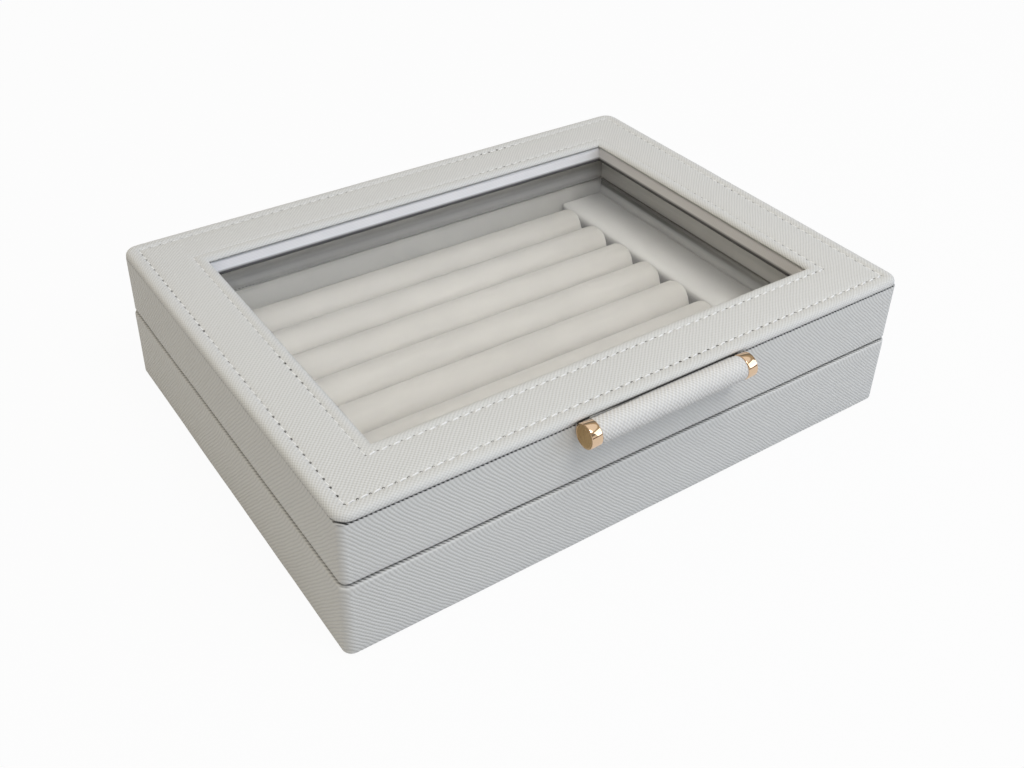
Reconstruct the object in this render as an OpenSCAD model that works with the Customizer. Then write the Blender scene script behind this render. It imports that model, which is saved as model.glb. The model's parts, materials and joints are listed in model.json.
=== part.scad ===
// Ring display box: a leather-covered case with a glazed, hinged lid over a bed of velvet ring rolls.
// Millimetres. +X runs to the right, -Y to the front where the pull tab is, and +Z up.
// The origin is the centre of the underside, on the surface that the box stands on.

/* [Case] */
// Width of the lid's covered walls, left to right
case_w = 249; // [220:1:300]
// Depth of the lid's covered walls, front to back
case_d = 185; // [160:1:220]
// How far the base's walls stand out past the lid's
base_proud = 0.5; // [0:0.1:0.5]
// Height of the base, from the underside to its rim
base_h = 31.1; // [28:0.1:45]
// Height of the lid's walls, from its rim to the top frame
lid_h = 26; // [22:0.5:40]
// Gap between the two rims when the lid is closed
rim_gap = 0.4; // [0.3:0.1:0.8]
// Radius of the upright corners of the lid's covering
corner_r = 3.5; // [2.5:0.1:5]
// Radius of the covering's rims, where it turns over a board
rim_r = 1.3; // [1:0.1:2]
// Radius of the covering's foot, where it turns in under the base
foot_r = 0.6; // [0.4:0.1:1]

/* [Sheet thicknesses] */
// Thickness of the lid's wall boards
board_t = 9.5; // [7:0.5:12]
// Thickness of the leather on the walls
leather_t = 1; // [0.6:0.1:1]
// Thickness of the velvet-covered card that lines the walls
lining_t = 1.5; // [1:0.1:2.5]
// Thickness of the bottom board
bottom_board_t = 3; // [2:0.5:4]
// Thickness of the velvet-covered card on the floor of the tray
floor_lining_t = 1.2; // [0.8:0.1:2]
// Thickness of the cover sheet on the underside
underside_t = 0.8; // [0.5:0.1:1.5]
// Margin of the walls left bare round the underside cover
underside_margin = 4; // [2:0.5:6]
// Reveal between a rim and the edge of the lining below or above it
lining_reveal = 0.3; // [0.2:0.1:1]

/* [Top frame] */
// How far the top frame stands out past the lid's walls
frame_overhang = 0.5; // [0.5:0.1:1]
// Width of the frame's sides, from its outer edge to the window
frame_w = 26; // [22:0.5:30]
// Thickness of the frame with its leather
frame_t = 3; // [2.6:0.1:4]
// Radius of the frame's upright corners
frame_corner_r = 5.8; // [3:0.1:8]
// Rounding of the frame's top edge
frame_top_r = 2; // [1.2:0.1:2.2]
// Rounding of the frame's bottom edge
frame_bottom_r = 0.8; // [0.4:0.1:0.8]
// Thickness of the thin leather on the frames
frame_leather_t = 0.8; // [0.5:0.1:0.9]
// How far the frame leather is turned in over the back of its board
turn_in = 8; // [5:0.5:9]

/* [Glass] */
// Thickness of the glass pane
glass_t = 2.5; // [2:0.1:3]
// Height of the inner frame that sits between the glass and the top frame
inner_frame_h = 6.8; // [5:0.1:9]
// Gap between the glass and the boards round it
glass_play = 0.5; // [0.3:0.1:0.8]

/* [Ring bed] */
// Width of the padded strip at each end of the rolls
end_strip_w = 23; // [15:0.5:35]
// Height of the padded end strips above the tray floor
end_strip_h = 19.5; // [12:0.5:22]
// Gap in front of the rolls, for lifting them out
roll_front_gap = 4.1; // [3:0.1:8]
// Gap between neighbouring rolls
roll_gap = 0.2; // [0.1:0.1:0.5]
// Gap between the ends of the rolls and the end strips
roll_end_gap = 0.8; // [0.5:0.1:2]
// Clearance of the ring bed's pieces from the lining round them
bed_fit = 0.2; // [0.1:0.1:0.5]
// Thickness of the velvet
velvet_t = 0.8; // [0.5:0.1:1.5]
// How far the velvet is turned in over the ends of a roll
roll_turn_in = 4; // [2:0.5:6]

/* [Pull tab] */
// Length of the whole pull tab, with its caps
tab_length = 74.5; // [50:0.5:110]
// Length of each metal cap
cap_length = 4.4; // [3:0.1:6]
// Radius of the metal caps
cap_r = 4.75; // [4.3:0.05:4.9]
// Rounding of the caps' edges
cap_edge_r = 0.5; // [0.3:0.1:0.8]
// How deep the rod sits in each cap
cap_socket = 3; // [1.5:0.1:3.4]
// Radius of the rod inside the leather loop
rod_r = 3.3; // [2:0.1:3.4]
// Thickness of the leather loop round the rod
loop_t = 1.25; // [0.8:0.05:1.3]
// Thickness of the doubled strap that joins the loop to the lid
strap_t = 1.4; // [1:0.1:1.6]
// Distance from the front wall to the axis of the rod
tab_reach = 5.5; // [5.5:0.1:8]
// Height of the rod's axis below the underside of the top frame
tab_drop = 1.5; // [1:0.1:2.5]
// Distance from the front wall to the line where the strap bends
strap_bend_reach = 0.6; // [0.4:0.1:0.7]
// Depth of the strap's slot in the front wall
strap_slot_depth = 9; // [5:0.5:10]
// Gap between the pieces that meet at the strap's bend, and over the strap in its slot
strap_gap = 0.3; // [0.2:0.05:0.4]

/* [Back hinges] */
// Distance of each hinge's middle from the end of the back wall
hinge_inset = 46; // [30:1:60]
// Length of each hinge
hinge_length = 30; // [24:1:36]
// Distance from the lid's back wall to the hinge axis
hinge_standoff = 2.7; // [2.7:0.1:3.2]
// Outer radius of the hinge knuckles
knuckle_r = 1.9; // [1.7:0.05:1.9]
// Radius of the hinge pins
pin_r = 0.9; // [0.7:0.05:1]
// Running clearance of a hinge pin in its knuckles
pin_fit = 0.05; // [0.02:0.01:0.08]
// Thickness of the hinge leaves
leaf_t = 0.8; // [0.6:0.05:0.9]
// Width of the hinge leaves over the wall's edge
leaf_w = 8; // [6.5:0.5:9]
// Gap between the hinge knuckles, and round each leaf
leaf_gap = 0.3; // [0.2:0.05:0.4]
// Radius of the screws' shanks
screw_r = 1; // [0.8:0.1:1.2]
// Radius of the screws' heads
screw_head_r = 2; // [1.7:0.1:2.2]
// Length of the screws
screw_length = 8; // [6:0.5:12]
// Distance of each hinge screw from the middle of its hinge
screw_x = 9; // [7:0.5:10]

/* [Hidden] */
$fn = 64;
eps = 0.01;
roll_count = 8;
fit = 0.05; // clearance round a piece that is glued or driven in

// Colours
leather_colour = [0.80, 0.80, 0.77];
velvet_colour = [0.77, 0.75, 0.71];
board_colour = [0.66, 0.55, 0.42];
foam_colour = [0.93, 0.91, 0.84];
gold_colour = [0.86, 0.68, 0.52];
steel_colour = [0.70, 0.70, 0.72];
glass_colour = [0.80, 0.90, 0.88, 0.30];
card_colour = [0.30, 0.29, 0.28];

// Levels, from the floor up
floor_z = underside_t + bottom_board_t + floor_lining_t;
lid_z = base_h + rim_gap;
walls_top = lid_z + lid_h;
case_h = walls_top + frame_t;
glass_top = walls_top - inner_frame_h;
glass_z = glass_top - glass_t;

// Plan sizes
board_w = case_w - 2 * leather_t;
board_d = case_d - 2 * leather_t;
board_corner_r = corner_r - leather_t;
rim_band = max(rim_r, leather_t); // depth of the leather's rounded edge
base_w = case_w + 2 * base_proud;
base_d = case_d + 2 * base_proud;
well_w = board_w - 2 * board_t; // between the boards
well_d = board_d - 2 * board_t;
inside_w = well_w - 2 * lining_t; // between the linings
inside_d = well_d - 2 * lining_t;
top_w = case_w + 2 * frame_overhang;
top_d = case_d + 2 * frame_overhang;
window = [top_w - 2 * frame_w, top_d - 2 * frame_w];
window_wrap = [window[0] + 2 * frame_leather_t, window[1] + 2 * frame_leather_t];
window_hem = [window[0] + 2 * turn_in, window[1] + 2 * turn_in];
frame_field = [top_w - 2 * frame_top_r, top_d - 2 * frame_top_r]; // inside the frame's rounded edge
field_r = frame_corner_r - frame_top_r;

// Ring bed
strip_w = end_strip_w - bed_fit;
roll_length = inside_w - 2 * end_strip_w - 2 * roll_end_gap;
roll_pitch = (inside_d - roll_front_gap - bed_fit) / roll_count;
roll_r = (roll_pitch - roll_gap) / 2;
roll_z = floor_z + roll_r + bed_fit;
function roll_y(i) = inside_d / 2 - bed_fit - roll_pitch * (i - 0.5);

// Pull tab
rod_y = -case_d / 2 - tab_reach;
rod_z = walls_top - tab_drop;
loop_r = rod_r + fit + loop_t;
loop_length = tab_length - 2 * cap_length;
bend_y = -case_d / 2 - strap_bend_reach;
strap_z = walls_top - strap_gap - strap_t / 2;
slot_z = strap_z - strap_t / 2;
slot_end_y = -case_d / 2 + strap_slot_depth;

// Hinges
hinge_x = case_w / 2 - hinge_inset;
hinge_y = case_d / 2 + hinge_standoff;
hinge_z = base_h + rim_gap / 2;
leaf_y = case_d / 2 - leaf_w;
screw_y = case_d / 2 - leaf_w / 2 - leather_t / 2;
base_leaf_z = base_h - leather_t;
lid_leaf_z = lid_z + leather_t - leaf_t;
knuckle_length = (hinge_length - 2 * leaf_gap) / 3;

// ---- Shapes that several pieces share ----

// A rectangle with round corners, centred
module rounded_rect(w, d, r) {
    square([w - 2 * r, d], center = true);
    square([w, d - 2 * r], center = true);
    for (x = [-1, 1], y = [-1, 1])
        translate([x * (w / 2 - r), y * (d / 2 - r)]) circle(r);
}

// A flat frame round a centred rectangular hole. Its outer corners are round if r is given.
module flat_frame(outer, inner, z, t, r = 0) {
    translate([0, 0, z]) linear_extrude(t) difference() {
        if (r > 0) rounded_rect(outer[0], outer[1], r);
        else square(outer, center = true);
        square(inner, center = true);
    }
}

// Carries a profile round a rectangle with corners of radius r. The profile's x is the distance in
// from the outer face, less than r, and its y is the height.
module carried_round(w, d, r) {
    for (side = [-1, 1]) {
        scale([side, 1, 1]) translate([w / 2, 0, 0]) rotate([90, 0, 0])
            linear_extrude(d - 2 * r, center = true) mirror([1, 0]) children();
        scale([1, side, 1]) translate([0, d / 2, 0]) rotate([90, 0, 90])
            linear_extrude(w - 2 * r, center = true) mirror([1, 0]) children();
    }
    for (quarter = [0:3]) {
        x = (quarter == 0 || quarter == 3) ? 1 : -1;
        y = quarter < 2 ? 1 : -1;
        translate([x * (w / 2 - r), y * (d / 2 - r), 0]) rotate([0, 0, 90 * quarter])
            rotate_extrude(angle = 90) translate([r, 0]) mirror([1, 0]) children();
    }
}

// What is cut off a square corner at the origin to round it by r
module corner_waste(r) {
    difference() {
        square(r);
        translate([r, r]) circle(r);
    }
}

// A rectangle from the outer face inwards, its lower and upper outer corners rounded
module round_edged(depth, h, lower_r, upper_r) {
    difference() {
        square([depth, h]);
        corner_waste(lower_r);
        translate([0, h]) mirror([0, 1]) corner_waste(upper_r);
    }
}

// The leather over a ring of wall boards: outside, and turned in over both edges of the boards.
// Proud is how far this ring stands out past the lid's walls, and lower_r rounds its lower edge.
module wall_leather(z, h, proud, lower_r) {
    outer = [case_w + 2 * proud, case_d + 2 * proud];
    r = corner_r + proud;
    translate([0, 0, z]) {
        carried_round(outer[0], outer[1], r) difference() {
            round_edged(rim_band, h, lower_r, rim_r);
            translate([leather_t, leather_t]) square([rim_band, h - 2 * leather_t]);
        }
        for (edge = [0, h - leather_t])
            flat_frame([outer[0] - 2 * rim_band, outer[1] - 2 * rim_band], [well_w, well_d],
                edge, leather_t, r - rim_band);
    }
}

// The front or back wall board, full width with round outer corners
module long_board(side, z, h, proud) {
    outer_d = board_d + 2 * proud;
    t = board_t + proud;
    color(board_colour) translate([0, 0, z]) linear_extrude(h) intersection() {
        rounded_rect(board_w + 2 * proud, outer_d, board_corner_r + proud);
        translate([0, side * (outer_d - t) / 2]) square([board_w + 2 * proud, t], center = true);
    }
}

// The left or right wall board, between the long ones
module side_board(side, z, h, proud) {
    t = board_t + proud;
    color(board_colour) translate([side * (well_w + t) / 2, 0, z + h / 2])
        cube([t, well_d, h], center = true);
}

// The lining of the front or back wall, from corner to corner
module long_lining(side, z, h) {
    color(velvet_colour) translate([0, side * (well_d - lining_t) / 2, z + h / 2])
        cube([well_w, lining_t, h], center = true);
}

// The lining of the left or right wall, between the long ones
module side_lining(side, z, h) {
    color(velvet_colour) translate([side * (well_w - lining_t) / 2, 0, z + h / 2])
        cube([lining_t, inside_d, h], center = true);
}

// ---- Base ----

base_board_z = underside_t + leather_t;
base_board_h = base_h - leather_t - base_board_z;
base_lining_h = base_h - lining_reveal - floor_z;

module base_bottom_board() {
    color(board_colour) translate([0, 0, underside_t + bottom_board_t / 2])
        cube([well_w, well_d, bottom_board_t], center = true);
}

module base_front_board() { long_board(-1, base_board_z, base_board_h, base_proud); }
module base_left_board() { side_board(-1, base_board_z, base_board_h, base_proud); }
module base_right_board() { side_board(1, base_board_z, base_board_h, base_proud); }
module base_front_lining() { long_lining(-1, floor_z, base_lining_h); }
module base_back_lining() { long_lining(1, floor_z, base_lining_h); }
module base_left_lining() { side_lining(-1, floor_z, base_lining_h); }
module base_right_lining() { side_lining(1, floor_z, base_lining_h); }

module base_back_board() {
    color(board_colour) difference() {
        long_board(1, base_board_z, base_board_h, base_proud);
        hinge_screw_holes(-1);
    }
}

// Clear space in a rim for the hinge leaves
module leaf_pockets(z) {
    length = hinge_length + 2 * leaf_gap;
    for (side = [-1, 1]) translate([side * hinge_x - length / 2, leaf_y - leaf_gap, z])
        cube([length, leaf_w + hinge_standoff, leather_t]);
}

module base_leather() {
    color(leather_colour) difference() {
        wall_leather(underside_t, base_h - underside_t, base_proud, foot_r);
        leaf_pockets(base_h - leather_t);
    }
}

module base_underside_cover() {
    color(card_colour) linear_extrude(underside_t)
        rounded_rect(base_w - 2 * underside_margin, base_d - 2 * underside_margin, corner_r);
}

module base_floor_lining() {
    color(velvet_colour) translate([0, 0, floor_z - floor_lining_t / 2])
        cube([well_w, well_d, floor_lining_t], center = true);
}

// ---- Ring bed ----

module ring_roll_velvet(i) {
    color(velvet_colour) translate([0, roll_y(i), roll_z]) rotate([0, 90, 0]) difference() {
        cylinder(h = roll_length, r = roll_r, center = true);
        cylinder(h = roll_length - 2 * velvet_t, r = roll_r - velvet_t, center = true);
        cylinder(h = roll_length + 1, r = roll_r - velvet_t - roll_turn_in, center = true);
    }
}

module ring_roll_foam(i) {
    color(foam_colour) translate([0, roll_y(i), roll_z]) rotate([0, 90, 0])
        cylinder(h = roll_length - 2 * velvet_t - 2 * fit, r = roll_r - velvet_t - fit, center = true);
}

module strip_block(side, inset) {
    translate([side * (inside_w / 2 - bed_fit - strip_w / 2), 0, floor_z])
        translate([-strip_w / 2 + inset, -inside_d / 2 + bed_fit + inset, 0])
            cube([strip_w - 2 * inset, inside_d - 2 * bed_fit - 2 * inset, end_strip_h - inset]);
}

module end_strip_velvet(side) {
    color(velvet_colour) difference() {
        strip_block(side, 0);
        translate([0, 0, -eps]) strip_block(side, velvet_t);
    }
}

module end_strip_core(side) {
    color(foam_colour) strip_block(side, velvet_t + fit);
}

// ---- Lid ----

lid_board_z = lid_z + leather_t;
lid_board_h = lid_h - 2 * leather_t;
lid_lining_z = lid_z + lining_reveal;
lid_lining_h = glass_z - lid_lining_z;

// The slot in the front wall that the pull tab's strap is glued into
module strap_slot() {
    translate([-loop_length / 2 - strap_gap, -case_d / 2 - 1, slot_z])
        cube([loop_length + 2 * strap_gap, strap_slot_depth + 1 + strap_gap, walls_top - slot_z + 1]);
}

module lid_left_board() { side_board(-1, lid_board_z, lid_board_h, 0); }
module lid_right_board() { side_board(1, lid_board_z, lid_board_h, 0); }
module lid_front_lining() { long_lining(-1, lid_lining_z, lid_lining_h); }
module lid_back_lining() { long_lining(1, lid_lining_z, lid_lining_h); }
module lid_left_lining() { side_lining(-1, lid_lining_z, lid_lining_h); }
module lid_right_lining() { side_lining(1, lid_lining_z, lid_lining_h); }

module lid_front_board() {
    color(board_colour) difference() {
        long_board(-1, lid_board_z, lid_board_h, 0);
        strap_slot();
    }
}

module lid_back_board() {
    color(board_colour) difference() {
        long_board(1, lid_board_z, lid_board_h, 0);
        hinge_screw_holes(1);
    }
}

module lid_leather() {
    color(leather_colour) difference() {
        wall_leather(lid_z, lid_h, 0, rim_r);
        leaf_pockets(lid_z);
        strap_slot();
    }
}

module top_frame_board() {
    t = frame_t - 2 * frame_leather_t;
    color(board_colour) flat_frame(frame_field, window_wrap, walls_top + frame_leather_t, t, field_r);
}

module top_frame_leather() {
    outer_hem = [frame_field[0] - 2 * turn_in, frame_field[1] - 2 * turn_in];
    color(leather_colour) {
        translate([0, 0, walls_top]) carried_round(top_w, top_d, frame_corner_r)
            round_edged(frame_top_r, frame_t, frame_bottom_r, frame_top_r);
        flat_frame(frame_field, window, case_h - frame_leather_t, frame_leather_t, field_r);
        flat_frame(frame_field, outer_hem, walls_top, frame_leather_t, field_r);
        flat_frame(window_wrap, window, walls_top, frame_t);
        flat_frame(window_hem, window, walls_top, frame_leather_t);
    }
}

module inner_frame_board() {
    outer = [well_w - 2 * fit, well_d - 2 * fit];
    t = inner_frame_h - 2 * frame_leather_t;
    color(board_colour) flat_frame(outer, window_wrap, glass_top + frame_leather_t, t);
}

module inner_frame_leather() {
    color(leather_colour) {
        flat_frame(window_wrap, window, glass_top, inner_frame_h);
        for (z = [glass_top, walls_top - frame_leather_t])
            flat_frame(window_hem, window, z, frame_leather_t);
    }
}

module glass_pane() {
    color(glass_colour) translate([0, 0, glass_z + glass_t / 2])
        cube([well_w - 2 * glass_play, well_d - 2 * glass_play, glass_t], center = true);
}

// ---- Pull tab ----

module pull_tab_anchor() {
    front_y = bend_y + strap_t / 2 + strap_gap;
    color(leather_colour) translate([-loop_length / 2, front_y, slot_z])
        cube([loop_length, slot_end_y - front_y, strap_t]);
}

module pull_tab_leather() {
    color(leather_colour) translate([0, rod_y, rod_z]) rotate([0, 90, 0]) {
        difference() {
            cylinder(h = loop_length, r = loop_r, center = true);
            cylinder(h = loop_length + 1, r = rod_r + fit, center = true);
        }
        // the strap, from the back of the loop to its rounded end at the bend
        difference() {
            translate([rod_z - strap_z - strap_t / 2, 0, -loop_length / 2])
                cube([strap_t, bend_y - rod_y, loop_length]);
            cylinder(h = loop_length + 1, r = loop_r - loop_t / 2, center = true);
        }
        translate([rod_z - strap_z, bend_y - rod_y, 0])
            cylinder(h = loop_length, r = strap_t / 2, center = true);
    }
}

module pull_tab_rod() {
    color(steel_colour) translate([0, rod_y, rod_z]) rotate([0, 90, 0])
        cylinder(h = loop_length + 2 * cap_socket - 2 * fit, r = rod_r, center = true);
}

module pull_tab_cap(side) {
    color(gold_colour) translate([side * (loop_length / 2 + fit), rod_y, rod_z]) rotate([0, side * 90, 0])
        rotate_extrude() difference() {
            cap_section();
            translate([-1, -1]) square([rod_r + fit + 1, cap_socket + 1]);
        }
}

// Half of a cap's section: its radius along x and its length along y, with both rims rounded
module cap_section() {
    square([cap_r - cap_edge_r, cap_length - fit]);
    translate([0, cap_edge_r]) square([cap_r, cap_length - fit - 2 * cap_edge_r]);
    for (y = [cap_edge_r, cap_length - fit - cap_edge_r])
        translate([cap_r - cap_edge_r, y]) circle(cap_edge_r);
}

// ---- Hinges ----

// One leaf, drawn for the base. Knuckles is 2 for the outer pair and 1 for the middle one.
module hinge_leaf(knuckles) {
    offsets = knuckles == 2 ? [-1, 1] : [0];
    length = knuckle_length;
    color(gold_colour) difference() {
        union() {
            translate([-hinge_length / 2, leaf_y, base_leaf_z])
                cube([hinge_length, leaf_w - leaf_gap, leaf_t]);
            for (k = offsets) translate([k * (length + leaf_gap) - length / 2, 0, 0]) {
                translate([0, case_d / 2 - leaf_gap - eps, base_leaf_z])
                    cube([length, hinge_standoff + leaf_gap + eps, leaf_t]);
                translate([0, hinge_y, hinge_z]) rotate([0, 90, 0]) cylinder(h = length, r = knuckle_r);
            }
        }
        translate([0, hinge_y, hinge_z]) rotate([0, 90, 0])
            cylinder(h = hinge_length + 1, r = pin_r + pin_fit, center = true);
        for (x = [-screw_x, screw_x]) translate([x, screw_y, 0]) screw_solid(fit);
    }
}

// A countersunk screw, its head flush with the top of the base leaf. Grow is the clearance of its hole.
module screw_solid(grow) {
    head_h = grow > 0 ? leaf_t + eps : leaf_t;
    translate([0, 0, base_leaf_z]) cylinder(h = head_h, r1 = screw_r + grow, r2 = screw_head_r + grow);
    translate([0, 0, base_leaf_z + leaf_t - screw_length])
        cylinder(h = screw_length - leaf_t + eps, r = screw_r + grow);
}

// The cross cut into a screw's head
module screw_cross() {
    arm = 1.2 * screw_head_r;
    cut = 0.35 * screw_r;
    depth = 0.4 * leaf_t;
    translate([0, 0, base_leaf_z + leaf_t]) for (turn = [0, 90])
        rotate([0, 0, turn]) cube([arm, cut, 2 * depth], center = true);
}

module base_side_of(side) {
    translate([side * hinge_x, 0, 0]) children();
}

// What is drawn for the base, turned over for the lid
module lid_side_of(side) {
    translate([side * hinge_x, 0, 2 * hinge_z]) mirror([0, 0, 1]) children();
}

// The screws' holes in a back board: half is -1 in the base and 1 in the lid
module hinge_screw_holes(half) {
    length = screw_length + 1;
    z = half < 0 ? base_leaf_z + leaf_t - length : lid_leaf_z;
    for (side = [-1, 1], x = [-screw_x, screw_x])
        translate([side * hinge_x + x, screw_y, z]) cylinder(h = length, r = screw_r + fit);
}

module hinge_screws() {
    color(gold_colour) for (x = [-screw_x, screw_x]) translate([x, screw_y, 0]) difference() {
        screw_solid(0);
        screw_cross();
    }
}

module hinge_pins() {
    color(gold_colour) for (side = [-1, 1]) translate([side * hinge_x, hinge_y, hinge_z]) rotate([0, 90, 0])
        cylinder(h = hinge_length, r = pin_r, center = true);
}

// ---- The pieces ----

base_bottom_board();
base_front_board();
base_back_board();
base_left_board();
base_right_board();
base_leather();
base_underside_cover();
base_floor_lining();
base_front_lining();
base_back_lining();
base_left_lining();
base_right_lining();
for (i = [1:roll_count]) {
    ring_roll_velvet(i);
    ring_roll_foam(i);
}
end_strip_velvet(-1);  // left_end_strip_velvet
end_strip_velvet(1);  // right_end_strip_velvet
end_strip_core(-1);  // left_end_strip_core
end_strip_core(1);  // right_end_strip_core
lid_front_board();
lid_back_board();
lid_left_board();
lid_right_board();
lid_leather();
top_frame_board();
top_frame_leather();
inner_frame_board();
inner_frame_leather();
glass_pane();
lid_front_lining();
lid_back_lining();
lid_left_lining();
lid_right_lining();
pull_tab_anchor();
pull_tab_leather();
pull_tab_rod();
pull_tab_cap(-1);  // pull_tab_cap_left
pull_tab_cap(1);  // pull_tab_cap_right
base_side_of(-1) hinge_leaf(2);  // hinge_left_base_leaf
base_side_of(1) hinge_leaf(2);  // hinge_right_base_leaf
lid_side_of(-1) hinge_leaf(1);  // hinge_left_lid_leaf
lid_side_of(1) hinge_leaf(1);  // hinge_right_lid_leaf
hinge_pins();
for (side = [-1, 1]) {
    base_side_of(side) hinge_screws();  // hinge_base_screws
    lid_side_of(side) hinge_screws();  // hinge_lid_screws
}
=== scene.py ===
# %% [markdown]
# # A ring display box, dressed in Blender
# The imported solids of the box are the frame: they say where every board, lining and hinge is.
# This lesson puts on what a maker would add by hand: embossed leather with stitching, padded
# velvet rolls, a clear pane, polished caps. Everything is in metres, at the place where the
# solids are, so no piece has to be fitted by eye.

# %% Load the frame
import json
import math
import random

import bmesh
import bpy
from mathutils import Matrix, Vector


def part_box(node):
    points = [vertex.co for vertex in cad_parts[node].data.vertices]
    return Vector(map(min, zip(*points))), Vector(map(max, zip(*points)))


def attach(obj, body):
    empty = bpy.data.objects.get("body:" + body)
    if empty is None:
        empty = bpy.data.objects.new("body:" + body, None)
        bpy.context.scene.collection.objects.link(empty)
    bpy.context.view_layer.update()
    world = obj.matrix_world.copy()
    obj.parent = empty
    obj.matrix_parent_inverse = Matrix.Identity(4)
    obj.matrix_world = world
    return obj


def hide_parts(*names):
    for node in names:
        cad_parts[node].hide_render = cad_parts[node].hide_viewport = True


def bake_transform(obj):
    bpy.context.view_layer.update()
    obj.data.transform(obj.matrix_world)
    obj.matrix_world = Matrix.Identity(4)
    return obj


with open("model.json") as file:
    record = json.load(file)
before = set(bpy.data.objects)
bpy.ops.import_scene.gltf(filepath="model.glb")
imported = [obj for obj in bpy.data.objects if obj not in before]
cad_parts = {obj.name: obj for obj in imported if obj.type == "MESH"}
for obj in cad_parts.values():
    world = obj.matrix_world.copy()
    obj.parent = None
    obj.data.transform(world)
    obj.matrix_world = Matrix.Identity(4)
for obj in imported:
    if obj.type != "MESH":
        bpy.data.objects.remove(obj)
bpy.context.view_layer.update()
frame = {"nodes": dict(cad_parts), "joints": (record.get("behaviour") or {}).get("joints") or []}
nodes = frame["nodes"]
MM = 0.001

# %% [markdown]
# ## The camera
# The picture is 1024 by 768. The camera looks down on the front left corner of the box, and its
# three axes are given as the columns of a matrix. A small shift lowers the frame instead of
# tilting the camera further, so upright edges lean no more than they should.

# %% Camera
camera_data = bpy.data.cameras.new("camera")
camera_data.sensor_width = 36
camera_data.lens = 40.95
camera_data.shift_y = -0.082
camera_data.clip_start = 0.01
camera = bpy.data.objects.new("camera", camera_data)
bpy.context.scene.collection.objects.link(camera)
right, up, back = (0.82300, -0.56759, 0.02268), (0.29511, 0.46133, 0.83671), (-0.48538, -0.68192, 0.54717)
camera.matrix_world = Matrix.Translation((-0.228906, -0.324381, 0.302035)) @ Matrix(
    (right, up, back)).transposed().to_4x4()
bpy.context.scene.camera = camera
bpy.context.scene.view_settings.view_transform = "Standard"
print("camera stands", round(camera.location.length, 3), "m from the middle of the underside")

# %% [markdown]
# ## Writing shader maths as sums
# A material is a tree of nodes, and long sums of Math nodes are hard to read. `Value` wraps one
# socket, and its operators add the Math nodes, so a groove can be written as `1 - wave * 0.5`.
# `Finish` is one material. Its `node` method adds any other node from its type, its settings and
# the values or links of its sockets.

# %% Values and finishes
class Value:
    """A socket of a finish that can stand in a sum."""

    def __init__(self, finish, socket):
        self.finish, self.socket = finish, socket

    def maths(self, operation, *others):
        inputs = {i: v for i, v in enumerate((self, *others))}
        return self.finish.node("ShaderNodeMath", {"operation": operation}, inputs)

    def __add__(self, other):
        return self.maths("ADD", other)

    def __sub__(self, other):
        return self.maths("SUBTRACT", other)

    def __mul__(self, other):
        return self.maths("MULTIPLY", other)

    def __pow__(self, other):
        return self.maths("POWER", other)

    def __rsub__(self, other):
        return self.finish.node("ShaderNodeMath", {"operation": "SUBTRACT"}, {0: other, 1: self})

    __radd__, __rmul__ = __add__, __mul__

    def cosine(self):
        return self.maths("COSINE")

    def at_least(self, other):
        return self.maths("MAXIMUM", other)

    def at_most(self, other):
        return self.maths("MINIMUM", other)


class Finish:
    """One material, with its node tree emptied and a Principled shader in it."""

    def __init__(self, name):
        self.material = bpy.data.materials.new(name)
        self.start(self.material)
        self.shader = self.tree.nodes.new("ShaderNodeBsdfPrincipled")
        self.tree.links.new(self.shader.outputs[0], self.surface)

    def start(self, owner):
        owner.use_nodes = True
        self.tree = owner.node_tree
        self.tree.nodes.clear()
        kind = "ShaderNodeOutputWorld" if isinstance(owner, bpy.types.World) else "ShaderNodeOutputMaterial"
        self.surface = self.tree.nodes.new(kind).inputs["Surface"]

    def feed(self, socket, value):
        if isinstance(value, Value):
            self.tree.links.new(value.socket, socket)
        else:
            socket.default_value = value

    def node(self, kind, settings=None, inputs=None, output=0):
        made = self.tree.nodes.new(kind)
        for name, setting in (settings or {}).items():
            if name == "stops":
                ramp = made.color_ramp.elements
                while len(ramp) < len(setting):
                    ramp.new(0.5)
                for stop, (place, colour) in zip(ramp, setting):
                    stop.position, stop.color = place, (*colour, 1)
            else:
                setattr(made, name, setting)
        for name, value in (inputs or {}).items():
            self.feed(made.inputs[name], value)
        return Value(self, made.outputs[output])

    def set(self, **sockets):
        for name, value in sockets.items():
            self.feed(self.shader.inputs[name.replace("_", " ").title().replace("Ior", "IOR")], value)

    def place(self):
        return self.node("ShaderNodeTexCoord", output=3)

    def split(self, vector):
        parts = self.node("ShaderNodeSeparateXYZ", {}, {0: vector}).socket.node
        return [Value(self, socket) for socket in parts.outputs]

    def noise(self, scale, detail=2.0, vector=None, roughness=0.5):
        inputs = {"Scale": scale, "Detail": detail, "Roughness": roughness}
        inputs["Vector"] = vector or self.place()
        return self.node("ShaderNodeTexNoise", {}, inputs)

    def mix(self, share, first, second):
        return self.node("ShaderNodeMix", {"data_type": "RGBA"}, {0: share, 6: first, 7: second}, 2)

    def bump(self, height, depth, strength=1.0):
        inputs = {"Strength": strength, "Distance": depth, "Height": height}
        self.set(normal=self.node("ShaderNodeBump", {}, inputs))


def colour(*screen):
    """A colour as picked from a screen, 0 to 255, in the linear numbers that shaders use."""
    shares = [v / 255 for v in screen]
    return (*(v / 12.92 if v <= 0.04 else ((v + 0.055) / 1.055) ** 2.4 for v in shares), 1.0)


def shade(tone, share):
    """A tone made darker or lighter, with no part of it above 1."""
    return (*(min(1.0, v * share) for v in tone[:3]), 1.0)


# %% [markdown]
# ## Floor, surroundings and light
# Small goods are shot on white paper that runs out of sight. The floor here is a plain sheet
# which the camera sees as white paper, with a little of its real shading left in so that the box
# still casts a soft shadow. The surroundings are white to the camera, and dimmer for the light
# they give. Polished metal needs something to mirror, so for reflections the room is bright above
# and in front, and darker to the left.

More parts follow.
